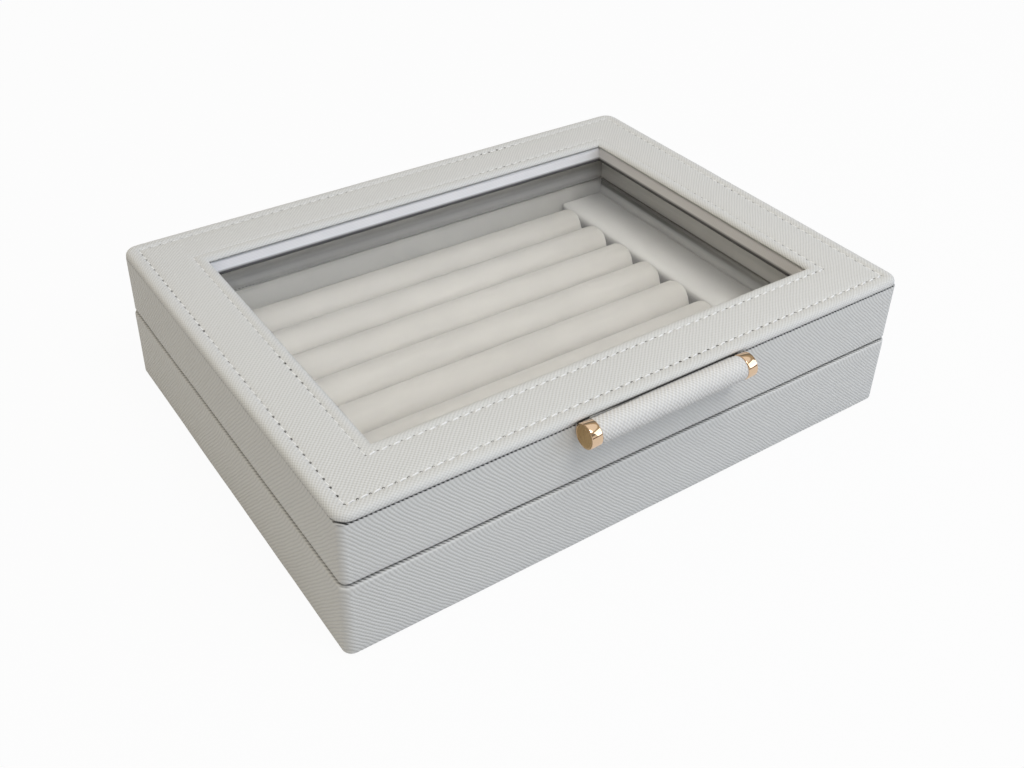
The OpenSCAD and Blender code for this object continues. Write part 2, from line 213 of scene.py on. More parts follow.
# %% What the camera sees as white
def straight(finish):
    """1 for rays that reach the camera with no dull surface between, also by glass or polished metal."""
    path = finish.node("ShaderNodeLightPath").socket.node.outputs
    seen = [Value(finish, path[name]) for name in ("Is Camera Ray", "Is Glossy Ray", "Is Transmission Ray")]
    clear = 1 - Value(finish, path["Diffuse Depth"]).at_most(1.0)
    return [ray * clear for ray in seen]


# %% The floor
def let_go():
    """Leaves edit mode with nothing selected."""
    if bpy.context.mode != "OBJECT":
        bpy.ops.object.mode_set(mode="OBJECT")
    bpy.ops.object.select_all(action="DESELECT")


let_go()
bpy.ops.mesh.primitive_plane_add(size=8)
floor = bpy.context.object
floor.name = "floor"
paper = Finish("white_paper")
paper.set(base_color=colour(200, 200, 200), roughness=0.9)
camera_ray, glossy, transmitted = straight(paper)
direct = camera_ray + glossy + transmitted
WHITE_SHARE, LESS_IN_METAL = 0.95, 0.2
glow = paper.node("ShaderNodeEmission", {}, {
    "Color": (1, 1, 1, 1), "Strength": 1.0 - glossy * LESS_IN_METAL})
paper.feed(paper.surface, paper.node("ShaderNodeMixShader", {}, {
    0: direct.at_most(1.0) * WHITE_SHARE, 1: Value(paper, paper.shader.outputs[0]), 2: glow}))
floor.data.materials.append(paper.material)
print("floor:", tuple(floor.dimensions))

# %% The surroundings
AMBIENT_LEVEL = 0.41
WARM_LEFT, COOL_FRONT = (1.40, 1.27, 1.05, 1), (0.78, 0.88, 1.14, 1)
room = Finish.__new__(Finish)
bpy.context.scene.world = bpy.data.worlds.new("studio")
room.start(bpy.context.scene.world)
camera_ray, glossy, transmitted = straight(room)
towards = room.split(room.node("ShaderNodeTexCoord", output=0))
cool_share = (towards[0] * 0.6 - towards[1] * 0.5 + 0.5).at_least(0.0).at_most(1.0)
given = room.mix(cool_share, WARM_LEFT, COOL_FRONT)
PALE, BRIGHT, DARK = colour(225, 224, 222), colour(243, 241, 238), colour(96, 70, 66)
DIM, TAN, BROWN = colour(130, 130, 128), colour(176, 168, 150), colour(150, 128, 104)
bands = [(0.0, PALE), (0.490, PALE), (0.500, DARK), (0.550, DARK), (0.565, PALE), (0.66, PALE), (0.69, DIM),
         (0.79, DIM), (0.825, TAN), (0.865, TAN), (0.885, BRIGHT), (1.0, BRIGHT)]
height_ramp = room.node("ShaderNodeValToRGB", {"stops": [(place, tone[:3]) for place, tone in bands]}, {
    0: towards[2] * 0.5 + 0.5})
leftness = (towards[0] * -1.2).at_least(0.0).at_most(1.0)
mirrored = room.mix(leftness, height_ramp, BROWN)
from_above = (towards[2].at_least(0.0) * 0.85 + 0.75) * AMBIENT_LEVEL
light = room.node("ShaderNodeBackground", {}, {
    "Color": room.mix(glossy, given, mirrored), "Strength": glossy + (1 - glossy) * from_above})
white = room.node("ShaderNodeBackground", {}, {"Color": (1, 1, 1, 1), "Strength": 1.0})
plain = (camera_ray + transmitted).at_most(1.0)
room.feed(room.surface, room.node("ShaderNodeMixShader", {}, {0: plain, 1: light, 2: white}))
print("surroundings give", AMBIENT_LEVEL, "of full white")


# %% The lamps
def soft_lamp(name, place, size, power, tint):
    """A square soft box that faces the middle of the box."""
    data = bpy.data.lights.new(name, "AREA")
    data.shape, data.size, data.energy, data.color = "SQUARE", size, power, tint
    lamp = bpy.data.objects.new(name, data)
    bpy.context.scene.collection.objects.link(lamp)
    lamp.location = place
    lamp.rotation_euler = (Vector((0, 0, 0.03)) - Vector(place)).to_track_quat("-Z", "Y").to_euler()
    print(name, "is", round(Vector(place).length, 2), "m away at", power, "W")


soft_lamp("key_lamp", (0.12, -0.68, 1.34), 0.60, 8.4, (1.0, 0.99, 0.97))
soft_lamp("front_lamp", (0.86, -0.88, 0.57), 0.80, 4.0, (0.84, 0.90, 1.0))

# %% [markdown]
# ## The leather
# The covering is split leather pressed with a fine cross grain: slanting grooves a good
# millimetre apart, each ridge broken by shallower marks across it. An image could hold this, but
# it would blur close up. Here the grooves are a cosine of a number that each vertex carries, the
# distance across the grooves. The mesh works that number out while the leather is still "flat",
# so the grain turns over an edge and runs round a corner as a real skin does. Noise makes the
# grooves wander and vary in depth. A third number is painted shade: it darkens the leather in the
# seams, in the gaps under edges and behind the pull tab, where shade falls.

# %% Leather finishes
GROOVE_PITCH, MARK_PITCH = 1.15 * MM, 1.05 * MM
SLOW_WANDER, QUICK_WANDER = 1.3 * MM, 0.40 * MM


def leather_finish(name, tone, depth, cross, stain=0.40):
    """Cross-grained leather, which reads where the grain runs from the vertices' attribute.

    Depth is how deep the grain is, cross how strong the marks across it are (at 1 it looks woven), and
    stain how much darker the bottom of a groove is.
    """
    finish = Finish(name)
    lie = finish.node("ShaderNodeAttribute", {"attribute_name": "grain"}, output=1)
    across, along, painted_shade = finish.split(lie)
    wander = (finish.noise(60) - 0.5) * SLOW_WANDER + (finish.noise(260, 1.0) - 0.5) * QUICK_WANDER
    groove = ((across + wander) * (math.tau / GROOVE_PITCH)).cosine() * 0.5 + 0.5
    mark = ((along + wander * 0.6) * (math.tau / MARK_PITCH)).cosine() * 0.5 + 0.5
    worn = finish.noise(700)
    height = (1 - groove ** 1.3) * (0.75 + worn * 0.25) - mark * cross
    fine = finish.noise(2600)
    finish.bump(height + fine * 0.08, depth)
    cloud = finish.noise(18)
    base = finish.mix(cloud, tone, shade(tone, 1.04))
    stained = (groove ** 2.0 * stain + mark * cross * 0.8 * stain).at_most(1.0)
    base = finish.mix(stained, base, shade(tone, 0.72))
    # Painted shade from the third number: in the grooves most, or over all of the leather where it is below
    # 0.
    painted_shade_in_grooves = (painted_shade * (0.2 + groove * 0.8)).at_most(1.0)
    base = finish.mix(painted_shade_in_grooves.at_least(painted_shade * -1.0), base, shade(tone, 0.05))
    finish.set(base_color=base, roughness=0.52 + worn * 0.14, specular_ior_level=0.40)
    return finish.material


wall_leather_finish = leather_finish("grey_cross_grain_leather", colour(214, 214, 209), 0.12 * MM, 0.25)
frame_leather = leather_finish("grey_fine_grain_leather", colour(214, 214, 209), 0.075 * MM, 0.80)
# The riser is the frame's leather painted paler: painted light for what the pane and the pale recess throw
# onto it.
riser_leather = leather_finish("grey_riser_leather", colour(247, 246, 245), 0.02 * MM, 0.30, 0.10)
tab_leather = leather_finish("grey_tab_leather", colour(224, 223, 218), 0.12 * MM, 0.95, 0.50)
print("leather grooves lie", GROOVE_PITCH / MM, "mm apart")

# %% [markdown]
# ## Velvet
# Flocked velvet is thousands of short fibres standing up. It has no shine, but it looks paler
# where it is seen edge on, which the sheen of the shader gives. Fingers and glue leave the nap
# lying different ways, so slow noise shifts the colour a little, and a very fine bump roughens
# it.


# %% Velvet finishes
def velvet_finish(name, tone, sheen, with_painted_light=False):
    """Velvet. A flagged one is also darkened by the number that its vertices carry as "nap": painted light
    and shade.
    """
    finish = Finish(name)
    nap = finish.noise(38, 3.0, roughness=0.6)
    fibre = finish.noise(3200)
    tuft = finish.noise(900)
    darker = shade(tone, 0.86)
    base = finish.mix(nap, darker, shade(tone, 1.07))
    base = finish.mix(fibre * 0.35, base, darker)
    if with_painted_light:
        # Painted light and shade, carried by the vertices.
        painted_light_share = finish.node("ShaderNodeAttribute", {"attribute_name": "nap"}, output=2)
        base = finish.mix(painted_light_share, (0.0, 0.0, 0.0, 1.0), base)
    finish.bump(fibre * 0.55 + tuft * 0.45, 0.16 * MM, 0.8)
    finish.set(base_color=base, roughness=0.93, specular_ior_level=0.15, sheen_weight=sheen,
               sheen_roughness=0.55, sheen_tint=(1.0, 0.98, 0.95, 1.0))
    return finish.material


roll_velvet = velvet_finish("roll_velvet", colour(207, 204, 198), 0.20)
# Strips and linings are painted paler than the rolls' velvet: painted light against the shade they stand
# in.
strip_velvet = velvet_finish("strip_velvet", colour(230, 229, 226), 0.16, with_painted_light=True)
lining_velvet = velvet_finish("lining_velvet", colour(232, 231, 227), 0.16, with_painted_light=True)
print("velvets:", roll_velvet.name, lining_velvet.name)

# %% [markdown]
# ## Hard and hidden materials
# The caps are polished rose gold, the hinges plain brass, the rod turned steel. Boards are brown
# pressed fibre, the cores are open-celled foam and the underside is a matt paper cover. Each is a
# tree of nodes too, because a lifted lid or an exploded view shows them.


# %% Metals
def metal_finish(name, tone, smooth, scratch_scale, scratch_stretch):
    """Bare metal: smooth is its least roughness, and the hairlines run where the stretch is smallest."""
    finish = Finish(name)
    stretched = finish.node("ShaderNodeMapping", {}, {0: finish.place(), 3: scratch_stretch})
    hairline = finish.noise(scratch_scale, 3.0, stretched)
    cloud = finish.noise(160)
    finish.set(base_color=finish.mix(cloud * 0.6, tone, shade(tone, 0.90)), metallic=1.0,
               roughness=smooth + hairline * smooth * 0.8)
    finish.bump(hairline, 0.004 * MM, 0.5)
    return finish.material


rose_gold = metal_finish("rose_gold", colour(238, 208, 176), 0.05, 1200, (0.1, 1, 1))
brass = metal_finish("hinge_brass", colour(212, 180, 128), 0.20, 1500, (0.1, 1, 1))
cap_face = metal_finish("rose_gold_face", colour(197, 163, 114), 0.20, 1500, (1, 1, 0.1))
steel = metal_finish("rod_steel", colour(196, 198, 202), 0.24, 1500, (0.1, 1, 1))


# %% Board, foam, paper and thread
def fibre_finish(name, tone, spread, scale, stretch, depth, roughness):
    """A dull material of pressed or woven fibres."""
    finish = Finish(name)
    stretched = finish.node("ShaderNodeMapping", {}, {0: finish.place(), 3: stretch})
    fibre = finish.noise(scale, 4.0, stretched, 0.65)
    speck = finish.noise(scale * 2.7)
    finish.set(base_color=finish.mix(fibre * 0.6 + speck * 0.4, shade(tone, 1 - spread), tone),
               specular_ior_level=0.2, roughness=roughness - fibre * 0.1)
    finish.bump(fibre, depth, 0.7)
    return finish.material


board = fibre_finish("pressed_board", colour(178, 156, 126), 0.30, 420, (1, 1, 0.3), 0.08 * MM, 0.9)
foam = fibre_finish("foam", colour(238, 233, 214), 0.22, 900, (1, 1, 1), 0.30 * MM, 0.95)
underside_paper = fibre_finish(
    "underside_paper", colour(92, 90, 88), 0.25, 1400, (1, 0.35, 1), 0.06 * MM, 0.92)
thread = fibre_finish("stitching_thread", colour(242, 242, 239), 0.08, 2600, (1, 1, 1), 0.05 * MM, 0.7)
# The needle holes are dark cups: painted shade for the depth of each hole.
needle_hole_shade = fibre_finish("needle_hole", colour(58, 55, 50), 0.3, 1500, (1, 1, 1), 0.02 * MM, 0.9)
print("materials so far:", len(bpy.data.materials))

# %% [markdown]
# ## Glass
# A thin pane of clear glass has hardly any colour and shows itself by what it mirrors. Real glass
# bends the light that falls through it, and tracing that is slow, so rays on their way to a lamp
# pass straight through by a Light Path switch.

# %% The glass finish
glass_finish = Finish("clear_glass")
glass_finish.set(base_color=colour(252, 252, 251), roughness=0.0, ior=1.45, transmission_weight=1.0)
path = glass_finish.node("ShaderNodeLightPath").socket.node.outputs
through = glass_finish.node("ShaderNodeBsdfTransparent", {}, {0: colour(247, 247, 246)})
to_lamps = Value(glass_finish, path["Is Shadow Ray"])
glass_finish.feed(glass_finish.surface, glass_finish.node("ShaderNodeMixShader", {}, {
    0: to_lamps, 1: Value(glass_finish, glass_finish.shader.outputs[0]), 2: through}))
clear_glass = glass_finish.material

# %% [markdown]
# ## Modelling by hand, in code
# The next helpers do what hands do in Blender: take one object, enter edit mode, pick faces,
# edges or corners by where they are, run an operator, and let go again. Everything is deselected
# first, because an operator acts on all that is selected.


# %% Helpers for modelling
def take(obj):
    let_go()
    obj.select_set(True)
    bpy.context.view_layer.objects.active = obj
    return obj


def edit(obj, kind):
    take(obj)
    bpy.ops.object.mode_set(mode="EDIT")
    bpy.ops.mesh.select_mode(type=kind)
    bpy.ops.mesh.select_all(action="DESELECT")


def pick(obj, kind, test):
    """Selects, in edit mode, each corner, edge or face whose middle (and itself) passes the test."""
    bpy.ops.mesh.select_mode(type=kind)
    bpy.ops.mesh.select_all(action="DESELECT")
    mesh = bmesh.from_edit_mesh(obj.data)
    found = 0
    for part in {"VERT": mesh.verts, "EDGE": mesh.edges, "FACE": mesh.faces}[kind]:
        if kind == "VERT":
            middle = part.co
        else:
            middle = sum((v.co for v in part.verts), Vector()) / len(part.verts)
        if test(middle, part):
            part.select_set(True)
            found += 1
    bmesh.update_edit_mesh(obj.data)
    return found


def round_edges(obj, offset, segments, test):
    """Picks edges and bevels them."""
    pick(obj, "EDGE", test)
    bpy.ops.mesh.bevel(offset=offset, segments=segments)


def settle(obj, angle=40):
    """Leaves edit mode, moves the place into the mesh and smooths all but sharp edges."""
    take(obj)
    bpy.ops.object.transform_apply()
    bpy.ops.object.shade_smooth_by_angle(angle=math.radians(angle))
    let_go()
    return obj


def block(name, low, high):
    """A box from one corner to the other: the start of a piece."""
    let_go()
    bpy.ops.mesh.primitive_cube_add(size=1, location=(Vector(low) + Vector(high)) / 2)
    obj = bpy.context.object
    obj.name = obj.data.name = name
    obj.scale = Vector(high) - Vector(low)
    bpy.ops.object.transform_apply()
    return obj


def round_bar(name, vertices, radius, length, middle=(0, 0, 0)):
    """A cylinder that lies from left to right, as the rod and the rolls do."""
    let_go()
    bpy.ops.mesh.primitive_cylinder_add(vertices=vertices, radius=radius, depth=length, location=middle,
                                        rotation=(0, math.radians(90), 0))
    obj = bpy.context.object
    obj.name = obj.data.name = name
    bpy.ops.object.transform_apply()
    return obj


def score(axis, places):
    """Cuts edge loops across the whole mesh at these places along an axis."""
    normal = Vector((axis == 0, axis == 1, axis == 2))
    bpy.ops.mesh.select_mode(type="FACE")
    for place in places:
        bpy.ops.mesh.select_all(action="SELECT")
        bpy.ops.mesh.bisect(plane_co=normal * place, plane_no=normal)


def steps(low, high, pitch):
    count = max(1, round((high - low) / pitch))
    return [low + (high - low) * i / count for i in range(1, count)]


def apply_all(obj):
    take(obj)
    for modifier in list(obj.modifiers):
        bpy.ops.object.modifier_apply(modifier=modifier.name)
    let_go()


def finish_piece(obj, body, slot_name, material, *stands_for):
    obj.data.materials.clear()
    obj.data.materials.append(material)
    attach(obj, body)
    if stands_for:
        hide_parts(*stands_for)
    print(obj.name, "has", len(obj.data.polygons), "faces")
    return obj


def lay_grain(obj, rule):
    """Stores where the grain runs: rule gives (across, along) in metres, and the painted shade.

    Painted shade of 0 to 1 darkens the grooves most, and one of 0 to -1 darkens the leather all over.
    """
    attribute = obj.data.attributes.new("grain", "FLOAT_VECTOR", "POINT")
    for vertex, value in zip(obj.data.vertices, attribute.data):
        value.vector = rule(vertex.co)


def thicken(obj, thickness):
    """Gives a skin its thickness, from the outside in."""
    solid = obj.modifiers.new("skin", "SOLIDIFY")
    solid.thickness, solid.offset = thickness, -1
    apply_all(obj)


def unevenness(obj, size, amount):
    """A slow swelling and sinking, as of skin glued over board."""
    cloud = bpy.data.textures.new(obj.name + "_cloud", "CLOUDS")
    cloud.noise_scale = size
    modifier = obj.modifiers.new("uneven", "DISPLACE")
    modifier.texture, modifier.strength, modifier.mid_level = cloud, amount, 0.5
    modifier.texture_coords = "LOCAL"


# %% [markdown]
# ## The leather round the walls
# Each half of the box is a ring of boards with one skin pulled round it, over the rim and under
# the foot. It starts as a box with its upright edges rounded. The top and bottom faces are inset
# in steps: while the insets are smaller than the corner radius they stay round, and where the arc
# has shrunk to a point its corners are merged, so the inner edge is square like the boards. The
# middle is deleted, the rims are bevelled, and Solidify gives the skin its thickness inwards.

# %% Wall leather
SKIN, THIN_SKIN = 1.0 * MM, 0.7 * MM
CORNER_STEPS = 6


def close_arcs():
    """Merges the picked corners of each small arc into one."""
    bpy.ops.mesh.remove_doubles(threshold=2.2 * MM)


def wall_leather(name, low, high, corner_r, well, sunk, round_by):
    """A ring of leather. Its rims, the lower one first, are sunk at the outside and rounded."""
    obj = block(name, low + Vector((0, 0, sunk[0])), high - Vector((0, 0, sunk[1])))
    edit(obj, "EDGE")
    round_edges(obj, corner_r, CORNER_STEPS, lambda c, e: abs(e.verts[0].co.z - e.verts[1].co.z) > 5 * MM)
    for way, sink, radius in zip((-1, 1), sunk, round_by):
        z = high.z - sink if way > 0 else low.z + sink
        pick(obj, "FACE", lambda c, f: way * f.normal.z > 0.9)
        round_part, to_the_point = corner_r - 1.0 * MM, 0.6 * MM
        bpy.ops.mesh.inset(thickness=round_part)
        bpy.ops.mesh.inset(thickness=to_the_point, depth=sink)
        close_arcs()
        bpy.ops.mesh.inset(thickness=high.y - well.y - round_part - to_the_point)
        bpy.ops.mesh.delete(type="FACE")
        round_edges(obj, radius, 5, lambda c, e: abs(e.calc_face_angle(0) - math.pi / 2) < 0.3 and all(
            abs(v.co.z - z) < 0.05 * MM for v in e.verts))
    score(0, steps(low.x + 12 * MM, high.x - 12 * MM, 5 * MM))
    score(1, steps(low.y + 12 * MM, high.y - 12 * MM, 5 * MM))
    near_rim = [high.z - v * MM for v in (6, 5, 4, 3, 2.2, 1.4)]
    score(2, steps(low.z + 2 * MM, high.z - 6 * MM, 3 * MM) + near_rim)
    let_go()
    unevenness(obj, 0.03, 0.25 * MM)
    thicken(obj, SKIN)
    return obj


def fade(past, reach):
    """1 until a line is passed, and 0 from reach beyond it: how a dark seam runs out."""
    return max(0.0, min(1.0, 1 - past / reach))


# Painted shade along the seams: the base's rim, the lid's foot and the lid's top under the frame, less away
# from the front.
SEAM_SHADE, UNDER_FRAME_SHADE, LESS_SHADE_OFF_FRONT = 0.85, 1.3, 0.6
RIM_REACH, RIM_PULL = 5.5 * MM, 0.7
ALONG_WALL, UP_WALL, UP_MORE_AT_RIGHT = 0.69, 0.735, 0.5


def wall_grain(low, high, sunk):
    """The grain of a wall: slanting, steeper at the rim and to the right, with painted shade in the seams.
    """

    def rule(co):
        past = max(0.0, co.z - (high.z - RIM_REACH))
        z = co.z - 0.5 * (RIM_PULL / RIM_REACH) * past * past
        if sunk[0]:
            foot = SEAM_SHADE * fade(co.z - low.z - sunk[0] - 0.15 * MM, 0.25 * MM)
            painted_shade = max(foot, UNDER_FRAME_SHADE * fade(high.z - 0.75 * MM - co.z, 0.25 * MM))
        else:
            painted_shade = SEAM_SHADE * fade(high.z - sunk[1] - 0.12 * MM - co.z, 0.22 * MM)
        if co.x < low.x + 2 * MM or co.x > high.x - 2 * MM or co.y > high.y - 2 * MM:
            painted_shade *= LESS_SHADE_OFF_FRONT
        steep = UP_WALL + UP_MORE_AT_RIGHT * co.x
        return (co.x + co.y) * ALONG_WALL + z * steep, (co.x + co.y - z) / math.sqrt(2), painted_shade

    return rule


def cut_out(obj, low, high):
    """Takes a box-shaped pocket out of a piece."""
    cutter = block("cutter", low, high)
    modifier = obj.modifiers.new("pocket", "BOOLEAN")
    modifier.operation, modifier.object, modifier.solver = "DIFFERENCE", cutter, "EXACT"
    apply_all(obj)
    bpy.data.objects.remove(cutter)


well_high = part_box("base_floor_lining")[1]
for part, corner_r, sunk, round_by in (
        ("base", 3.6 * MM, (0.0, 0.1 * MM), (0.6 * MM, 1.1 * MM)),
        ("lid", 2.8 * MM, (0.1 * MM, 0.45 * MM), (1.1 * MM, 0.6 * MM))):
    low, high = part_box(part + "_leather")
    skin = wall_leather(part + "_leather_cover", low, high, corner_r, well_high, sunk, round_by)
    rim_z = high.z if part == "base" else low.z
    margin = 0.3 * MM
    for side in ("left", "right"):
        leaf_low, leaf_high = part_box(f"hinge_{side}_{part}_leaf")
        cut_out(skin, (leaf_low.x - margin, leaf_low.y - margin, rim_z - SKIN - 0.05 * MM),
                (leaf_high.x + margin, high.y + 2 * MM, rim_z + SKIN + 0.05 * MM))
    if part == "lid":
        strap_low, strap_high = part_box("pull_tab_anchor")
        cut_out(skin, (strap_low.x - margin, low.y - 2 * MM, strap_low.z),
                (strap_high.x + margin, strap_high.y + margin, high.z + 1 * MM))
    lay_grain(skin, wall_grain(low, high, sunk))
    settle(skin, 35)
    finish_piece(skin, part, "leather", wall_leather_finish, part + "_leather")

# %% [markdown]
# ## The padded top frame
# The frame is board under a thin wadding, so its skin is soft: it rolls over both edges and sinks
# where the two rows of stitches hold it down. Its section is a list of steps, each a distance in
# from the last and a rise or fall. A flat sheet with rounded corners is inset once for each step,
# which draws the whole section round the frame at one go.

# %% Top frame leather
FRAME_CORNER_R, FRAME_W = 5.8 * MM, 26 * MM
FRAME_EDGE = 2.0 * MM  # from the flat of the frame down to where its rounded edge ends
OUTER_ROW, INNER_ROW = 5.3, 21.25

section = [(0.0, 0.0), (0.12, 0.55), (0.45, 1.15), (1.0, 1.62), (1.7, 1.88), (2.6, 2.0), (3.8, 1.98)]
section += [(4.5, 1.90), (5.0, 1.66), (5.3, 1.58), (5.6, 1.66), (6.3, 1.86), (7.5, 1.94), (10.0, 2.0)]
section += [(13.2, 2.02), (16.5, 2.0), (19.0, 1.94), (20.2, 1.86), (20.95, 1.66), (21.25, 1.58)]
section += [(21.55, 1.66), (22.1, 1.86), (22.9, 1.95), (23.9, 1.90), (24.8, 1.64), (25.45, 1.2)]
section += [(25.85, 0.7), (26.0, 0.3)]

low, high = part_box("top_frame_leather")
window_x, window_y = high.x - FRAME_W, high.y - FRAME_W
edge_z = high.z - FRAME_EDGE
let_go()
bpy.ops.mesh.primitive_plane_add(size=1, location=(0, 0, edge_z))
top = bpy.context.object
top.name = top.data.name = "top_frame_cover"
top.scale = (high.x - low.x, high.y - low.y, 1)
bpy.ops.object.transform_apply()
edit(top, "VERT")
pick(top, "VERT", lambda c, v: True)
bpy.ops.mesh.bevel(offset=FRAME_CORNER_R, segments=CORNER_STEPS, affect="VERTICES")
pick(top, "FACE", lambda c, f: True)
for (past, level), (here, rise) in zip(section, section[1:]):
    bpy.ops.mesh.inset(thickness=(here - past) * MM, depth=(rise - level) * MM)
    if here == OUTER_ROW:
        close_arcs()
bpy.ops.mesh.delete(type="FACE")

# %% The frame's edges turned under
TURN_IN = 8 * MM


def fold(move=(0, 0, 0), grow=(0, 0), half=None):
    """Extrudes the picked edges, then moves them and brings them out or in by grow metres a side."""
    bpy.ops.mesh.extrude_edges_move(TRANSFORM_OT_translate={"value": move})
    if grow != (0, 0):
        bpy.ops.transform.resize(value=(1 + grow[0] / half[0], 1 + grow[1] / half[1], 1),
                                 center_override=(0, 0, 0))


found = pick(top, "EDGE", lambda c, e: e.is_boundary and max(abs(c.x) / high.x, abs(c.y) / high.y) > 0.97)
drop = edge_z - low.z
fold((0, 0, -(drop - 0.5 * MM)))
fold((0, 0, -0.35 * MM), (-0.2 * MM, -0.2 * MM), (high.x, high.y))
fold((0, 0, -0.15 * MM), (-0.5 * MM, -0.5 * MM), (high.x, high.y))
fold((0, 0, 0), (-TURN_IN, -TURN_IN), (high.x, high.y))
inner = pick(top, "EDGE", lambda c, e: e.is_boundary and abs(c.x) < window_x + 1 * MM and abs(
    c.y) < window_y + 1 * MM)
fold((0, 0, -0.15 * MM))
fold((0, 0, -0.3 * MM), (0.25 * MM, 0.25 * MM), (window_x, window_y))
fold((0, 0, -0.2 * MM), (0.7 * MM, 0.7 * MM), (window_x, window_y))
fold((0, 0, 0), (TURN_IN, TURN_IN), (window_x, window_y))
score(0, steps(low.x + 30 * MM, high.x - 30 * MM, 6 * MM))
score(1, steps(low.y + 30 * MM, high.y - 30 * MM, 6 * MM))
let_go()
unevenness(top, 0.025, 0.22 * MM)
thicken(top, THIN_SKIN)
print("outer edge", found, "inner edge", inner)


# %% The grain of the frame
# Painted shade under the frame's inner edge and along its lower hem, and a painted shadow on the edge
# behind the pull tab.
UNDER_EDGE_SHADE, TAB_SHADOW, TAB_SHADOW_HALF = -0.5, -1.0, 41 * MM


def frame_grain(co):
    """Unrolls a point of the frame: what hangs below the top is laid flat, outwards or inwards."""
    drop = high.z - co.z
    x, y = co.x, co.y
    core_x, core_y = high.x - 5 * MM, high.y - 5 * MM
    if abs(x) > core_x or abs(y) > core_y:
        away = Vector((x - max(-core_x, min(core_x, x)), y - max(-core_y, min(core_y, y))))
        away.normalize()
        x, y = x + away.x * drop, y + away.y * drop
    elif abs(x) < window_x + 1 * MM and abs(y) < window_y + 1 * MM:
        if abs(abs(x) - window_x) < abs(abs(y) - window_y):
            x -= math.copysign(drop, x)
        else:
            y -= math.copysign(drop, y)
    inside = abs(x) < window_x + 1 * MM and abs(y) < window_y + 1 * MM
    # Painted shade: all over under the inner edge, in the grooves along the lower hem, less at the right
    # and the back.
    if inside:
        painted_shade = UNDER_EDGE_SHADE * fade(co.z - low.z - 1.2 * MM, 0.5 * MM)
    else:
        painted_shade = fade(co.z - low.z - 0.25 * MM, 0.3 * MM)
        if co.x > high.x - 2 * MM or co.y > high.y - 2 * MM:
            painted_shade *= LESS_SHADE_OFF_FRONT
    # A painted shadow where the pull tab keeps the light off the frame's front edge.
    behind_tab = co.y < low.y + 1 * MM and abs(co.x) < TAB_SHADOW_HALF and co.z < high.z - 1.7 * MM
    if behind_tab:
        painted_shade = TAB_SHADOW
    return (x - y) / math.sqrt(2), (x + y) / math.sqrt(2), painted_shade


lay_grain(top, frame_grain)
settle(top, 50)
finish_piece(top, "lid", "leather", frame_leather, "top_frame_leather")

# %% [markdown]
# ## The riser round the window
# Between the top frame and the glass stands a second, narrower frame. Its leather is seen only as
# a band inside the window, so the piece is the band and the two hems that turn behind the board,
# with soft edges that leave a thin dark line against the frame above, deepened with painted shade.
# The lower hem is the wider one, because it is seen through the pane when the lid is open.

# %% Inner frame leather
low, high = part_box("inner_frame_leather")
head_z = high.z + 0.7 * MM
riser = block("inner_frame_cover", (-window_x, -window_y, low.z), (window_x, window_y, head_z))
edit(riser, "FACE")
pick(riser, "FACE", lambda c, f: abs(f.normal.z) > 0.9)
bpy.ops.mesh.delete(type="FACE")
round_edges(riser, 0.6 * MM, 3, lambda c, e: abs(e.verts[0].co.z - e.verts[1].co.z) > 1 * MM)
UPPER_HEM, LOWER_HEM = TURN_IN - 1 * MM, 12.5 * MM
for z, way, hem in ((head_z, 1, UPPER_HEM), (low.z, -1, LOWER_HEM)):
    pick(riser, "EDGE", lambda c, e: e.is_boundary and abs(c.z - z) < 0.2 * MM)
    bpy.ops.transform.translate(value=(0, 0, -way * 0.8 * MM))
    fold((0, 0, way * 0.5 * MM), (0.2 * MM, 0.2 * MM), (window_x, window_y))
    fold((0, 0, way * 0.3 * MM), (0.6 * MM, 0.6 * MM), (window_x, window_y))
    fold((0, 0, 0), (hem, hem), (window_x, window_y))
bpy.ops.mesh.select_all(action="SELECT")
bpy.ops.mesh.flip_normals()
score(0, steps(-window_x, window_x, 8 * MM))
score(1, steps(-window_y, window_y, 8 * MM))
score(2, [low.z + 1.5 * MM, low.z + 2.8 * MM, head_z - 1.3 * MM])
let_go()
unevenness(riser, 0.02, 0.2 * MM)
thicken(riser, THIN_SKIN)


# Painted shade on the riser: its sides, its foot over the pane and its upper edge under the frame.
SIDE_SHADE, FOOT_SHADE, HEAD_SHADE = 0.15, 0.95, 0.4


def riser_grain(co):
    """Slanting up the band, with painted shade at its foot over the pane, a little at its upper edge and on
    its sides.
    """
    foot = fade(co.z - low.z - 1.5 * MM, 1.3 * MM)
    head = fade(head_z - co.z - 0.4 * MM, 0.9 * MM)
    on_side = SIDE_SHADE if abs(co.x) > window_x - 1 * MM else 0.0
    if max(abs(co.x) - window_x, abs(co.y) - window_y) > 0.95 * MM:
        foot = head = 0.0
    painted_shade = -max(FOOT_SHADE * foot, HEAD_SHADE * head, on_side)
    return (co.x - co.y + co.z) / math.sqrt(2), (co.x - co.y - co.z) / math.sqrt(2), painted_shade


lay_grain(riser, riser_grain)
settle(riser, 50)
finish_piece(riser, "lid", "leather", riser_leather, "inner_frame_leather")

# %% [markdown]
# ## Stitches
# Lockstitch shows as short slanting bars of thread that dive into a hole at each end. One bar is
# bent out of a six-sided cylinder and one hole is a shallow cup, dark as painted shade for the
# depth of the hole. Both are copied along the two rectangles, each copy with its own mesh and a
# slightly different slant, and joined into one piece for each row.


